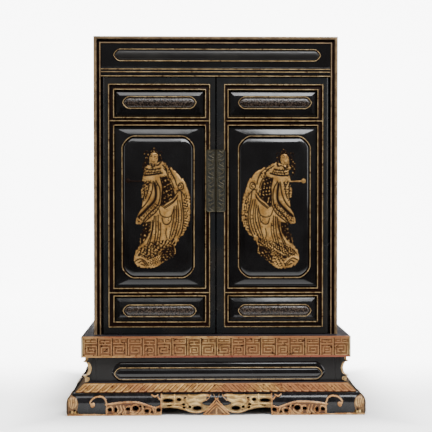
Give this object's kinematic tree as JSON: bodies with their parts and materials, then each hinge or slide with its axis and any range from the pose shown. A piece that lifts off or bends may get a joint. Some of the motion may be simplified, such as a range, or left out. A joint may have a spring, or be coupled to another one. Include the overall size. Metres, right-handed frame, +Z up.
{
  "type": "lacquered altar cabinet",
  "caption": "Black lacquer and gilt altar cabinet: an empty shrine box behind two panelled doors, on a stepped and carved stand with a fret edge",
  "frame": {"origin": "on the floor under the middle of the stand", "axes": "+Z up, the doors face -Y, +X to the viewer's right when facing the doors"},
  "size_m": [0.49, 0.37, 0.625],
  "materials": {
    "black_lacquer": "polished black lacquer over wood",
    "gilt_carving": "worn gold leaf over red ground and black lacquer on carved wood",
    "fret_gilding": "gold rubbed over red lacquer on a carved fret",
    "interior_lacquer": "plain dark red lacquer",
    "bronze": "dark engraved bronze"
  },
  "bodies": {
    "cabinet": {"front_apron": "gilt_carving", "right_apron": "gilt_carving", "back_apron": "black_lacquer", "left_apron": "gilt_carving", "tread_board": "gilt_carving", "waist_front": "black_lacquer", "waist_right": "black_lacquer", "waist_back": "black_lacquer", "waist_left": "black_lacquer", "front_left_post": "gilt_carving", "front_right_post": "gilt_carving", "back_left_post": "gilt_carving", "back_right_post": "gilt_carving", "fret_deck": "fret_gilding", "left_side": "black_lacquer", "right_side": "black_lacquer", "top_board": "black_lacquer", "back_board": "black_lacquer", "floor_board": "interior_lacquer", "frieze_panel": "black_lacquer", "lintel": "black_lacquer"},
    "left_door": {"left_door_frame": "black_lacquer", "left_upper_panel": "black_lacquer", "left_main_panel": "black_lacquer", "left_lower_panel": "black_lacquer", "left_lock_plate": "bronze"},
    "right_door": {"right_door_frame": "black_lacquer", "right_upper_panel": "black_lacquer", "right_main_panel": "black_lacquer", "right_lower_panel": "black_lacquer", "right_lock_plate": "bronze"}
  },
  "joints": [
    {"name": "left_door_hinge", "type": "hinge", "parent": "cabinet", "child": "left_door", "pos_m": [-0.182, -0.1305, 0.342], "axis": [0, 0, -1], "range_deg": [0, 90]},
    {"name": "right_door_hinge", "type": "hinge", "parent": "cabinet", "child": "right_door", "pos_m": [0.182, -0.1305, 0.342], "axis": [0, 0, 1], "range_deg": [0, 90]}
  ]
}
